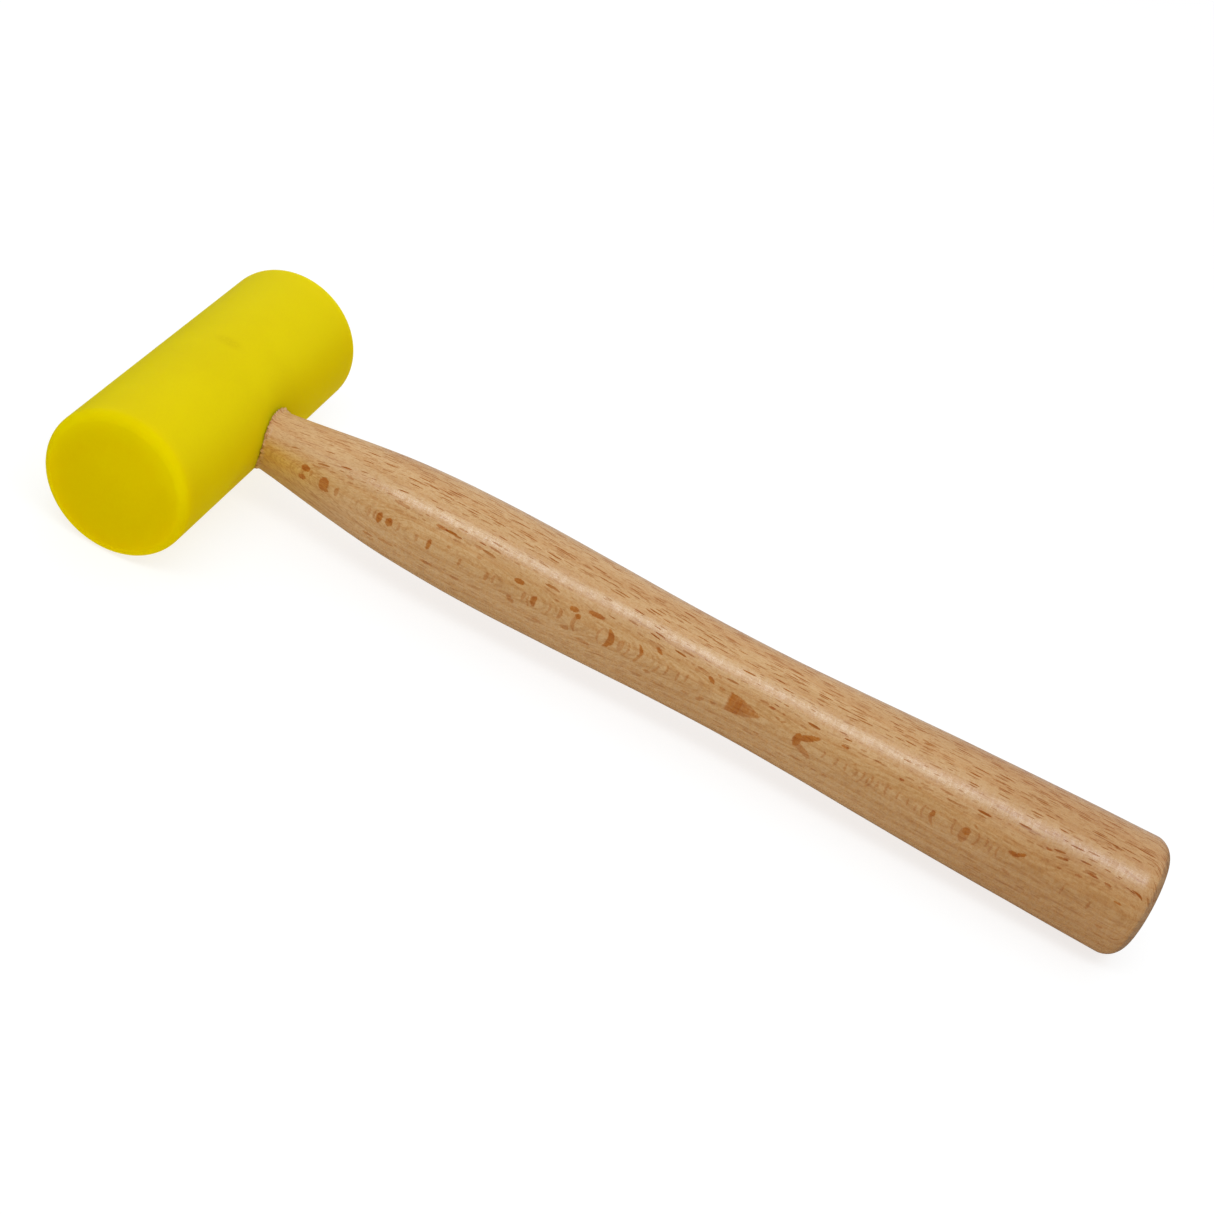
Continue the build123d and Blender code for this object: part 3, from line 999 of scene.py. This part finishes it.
def broad_rays(paint, wood, fibre):
    """A mask of the broad rays, drawn with strokes whose edges are made ragged."""
    place = paint.join(wood.x, wood.across, wood.arc)
    x = paint.plus(wood.x, paint.wander(place, (3.0, 1.0, 0.09), 0.9))
    arc = paint.plus(wood.arc, paint.wander(place, (0.35, 1.0, 1.0), 0.5))
    places = stroke_places(paint, x, arc)
    flecks = broad_ray(paint, places["|"])
    for strokes, strength in ((BOLD_FLECKS, 1.0), (SOFT_FLECKS, 0.62), (FAINT_FLECKS, 0.52)):
        mask = paint.times(fleck_mask(paint, places, strokes), strength)
        flecks = paint.larger(flecks, mask)
    return paint.times(flecks, paint.step(fibre, 0.3, 0.7, 0.82, 1.0))


def bare_ends(paint, wood, soot):
    """A mask of the bare end grain, on the butt's rim and end and on the tenon."""
    ragged = paint.plus(wood.x, paint.times(soot, 1.6))
    butt = paint.step(ragged, HANDLE_END - 1.4, HANDLE_END - 0.8)
    tenon = paint.step(wood.x, -8.0, -14.0)
    return paint.larger(butt, tenon)


def torn_entry(paint, wood, colour):
    """Crushed and frayed fibres where the handle enters the head."""
    entry = paint.minus(wood.x, eye_line(paint, wood.plain))
    torn = paint.noise(wood.plain, (0.5, 0.22, 0.22), detail=3.0, roughness=0.7)
    crushed = paint.times(paint.step(entry, 1.3, 0.3), paint.step(torn, 0.46, 0.60))
    colour = paint.stain(colour, crushed, CRUSHED_TINT)
    frayed = paint.times(paint.step(entry, 1.5, 0.5), paint.step(torn, 0.44, 0.32))
    return paint.stain(colour, frayed, FRAYED_TINT)


def beech():
    """Lacquered beech: small dark rays all round, broad ones along the quartered line."""
    paint = new_material("beech")
    wood = Wood(paint)
    fibre = paint.noise(wood.grain, (7.0, 0.28, 0.28), detail=2.0, roughness=0.6)
    soot = paint.noise(wood.plain, (0.45, 0.30, 0.30), detail=3.0, roughness=0.7)
    veins, specks, rays = small_rays(paint, wood)
    flecks = broad_rays(paint, wood, fibre)
    bare = bare_ends(paint, wood, soot)

    colour = clear_wood(paint, wood, fibre)
    colour = lit_neck_and_darker_butt(paint, wood, colour)
    for mask in (veins, specks, rays):
        colour = paint.stain(colour, mask, RAY_TINT)
    colour = paint.stain(colour, flecks, FLECK_TINT)
    sooty = paint.times(bare, paint.step(soot, 0.35, 0.62, 0.25, 1.0))
    colour = paint.stain(colour, sooty, END_GRAIN_TINT)
    colour = torn_entry(paint, wood, colour)
    paint.give("Base Color", colour)

    # satin lacquer, duller on the rays, near the head and on the bare ends
    turned = paint.noise(paint.join(wood.x, wood.arc, 0.0), (0.85, 2.2, 1.0), detail=1.0)
    rough = paint.step(fibre, 0.3, 0.8, 0.27, 0.33)
    rough = paint.plus(rough, paint.step(wood.x, 56.0, 30.0, 0.0, 0.20))
    rough = paint.plus(rough, paint.times(bare, 0.35))
    rough = paint.plus(rough, paint.step(turned, 0.40, 0.60, -0.06, 0.05))
    paint.give("Roughness", rough)
    small = paint.larger(rays, specks)
    gloss = paint.smaller(paint.step(small, 0.0, 1.0, LACQUER_GLOSS, 0.12),
                          paint.step(flecks, 0.0, 1.0, LACQUER_GLOSS, 0.45))
    paint.give("Specular IOR Level", gloss)

    # turning marks under the lacquer, raised fibres, sunk broad rays and rough end grain
    swell = paint.noise(paint.join(wood.x, wood.arc, 0.0), (14.0, 9.0, 1.0), detail=1.0)
    height = paint.plus(paint.times(turned, 3.0), paint.times(swell, 9.0))
    height = paint.plus(height, paint.times(fibre, 0.5))
    height = paint.minus(height, paint.times(flecks, 0.2))
    rough_end = paint.times(bare, paint.times(soot, 3.0))
    paint.bump(paint.plus(height, rough_end), 0.012)
    return paint.material


# -------- wedges
def wedge_hardwood():
    """End grain of a darker wood, split fine, for the wedge in the tenon's top."""
    paint = new_material("wedge_hardwood")
    place = paint.millimetres(TOOL)
    fibre = paint.noise(place, (6.0, 0.5, 0.12), detail=3.0, roughness=0.6)
    pores = paint.noise(place, (3.0, 0.16, 0.16), detail=2.0)
    colour = paint.mix(paint.step(fibre, 0.3, 0.7), WEDGE_DEEP, WEDGE_PALE)
    colour = paint.stain(colour, paint.step(pores, 0.58, 0.70), WEDGE_PORE_TINT)
    top = paint.step(paint.split(place)[0], 0.5 - HEAD_RADIUS, -HEAD_RADIUS)
    colour = paint.stain(colour, top, WEDGE_TOP_TINT)
    paint.give("Base Color", colour)
    paint.give("Roughness", paint.step(fibre, 0.3, 0.7, 0.55, 0.75))
    paint.bump(paint.minus(fibre, pores), 0.08)
    return paint.material


def wedge_steel():
    """Mild steel, ground on its sides and dulled by handling and a little rust."""
    paint = new_material("wedge_steel")
    place = paint.millimetres(TOOL)
    ground = paint.noise(place, (7.0, 0.06, 0.06), detail=2.0)
    dull = paint.noise(place, (1.6, 1.6, 1.6), detail=4.0, roughness=0.65)
    rust = paint.step(dull, 0.56, 0.68)
    colour = paint.mix(paint.step(ground, 0.3, 0.7), STEEL_DARK, STEEL_BRIGHT)
    colour = paint.mix(paint.times(rust, 0.55), colour, RUST)
    paint.give("Base Color", colour)
    paint.give("Metallic", paint.step(rust, 0.0, 1.0, 1.0, 0.45))
    rough = paint.plus(paint.step(ground, 0.3, 0.7, 0.28, 0.42), paint.times(rust, 0.3))
    paint.give("Roughness", rough)
    paint.bump(paint.plus(ground, dull), 0.05)
    return paint.material


STEEL_GAP = 0.02              # between the steel wedge and its slot
# How far each ring of the struck end stands in from the sides and out from the end
PEENED = ((0.10, 0.03), (0.25, 0.08), (0.45, 0.10), (0.70, 0.11))
HAMMER_DENT = 0.05
STEEL_BEVEL, PEENED_BEVEL, BEVEL_CELLS = 0.18, 0.15, 3


def steel_wedge_mesh():
    """The barbed steel wedge, its struck end peened over by the hammer."""
    rings = []
    half_width = STEEL_WIDTH / 2 - STEEL_GAP
    for x, half in steel_profile():
        rings.append(bevelled_ring(x, half - STEEL_GAP, half_width, STEEL_BEVEL))
    struck = rings[0]
    x0, half = steel_profile()[0]
    peened = []
    for inset, rise in PEENED:
        ring = bevelled_ring(x0 - rise, half - inset, half_width - inset, PEENED_BEVEL)
        peened.append([(x + HAMMER_DENT * noise.noise(Vector((0.0, 1.7 * y, 1.1 * z))), y, z)
                       for x, y, z in ring])
    peened.reverse()
    tip = rings[-1]
    middle = (steel_profile()[-1][0], 0.0, 0.0)
    return build_mesh("steel_wedge", [
        loft([*peened, struck]), fan(peened[0], (x0 - PEENED[-1][1], 0.0, 0.0)),
        loft(rings), fan(tip, middle)])


def bevelled_ring(x, half_y, half_z, bevel):
    """A rectangle round the X axis with its corners rounded over."""
    bevel = min(bevel, half_y * 0.6)
    ring = []
    for corner in range(4):
        side_y, side_z = ((1, 1), (-1, 1), (-1, -1), (1, -1))[corner]
        for i in range(BEVEL_CELLS + 1):
            turn = (corner + i / BEVEL_CELLS) * pi / 2
            ring.append((x, side_y * (half_y - bevel) + bevel * cos(turn),
                         side_z * (half_z - bevel) + bevel * sin(turn)))
    return ring


def dress(node, material):
    """A better material on a CAD node that keeps its own shape."""
    for given in node.material_slots:
        given.material = material


add_camera()
add_studio()
add_floor()
add_piece(head_mesh(), "head_cylinder", head_plastic(), "head")
add_piece(handle_mesh(), "handle_turning", beech(), "handle")
add_piece(steel_wedge_mesh(), "steel_wedge_forging", wedge_steel(), "steel_wedge")
dress(frame["nodes"]["wood_wedge"], wedge_hardwood())
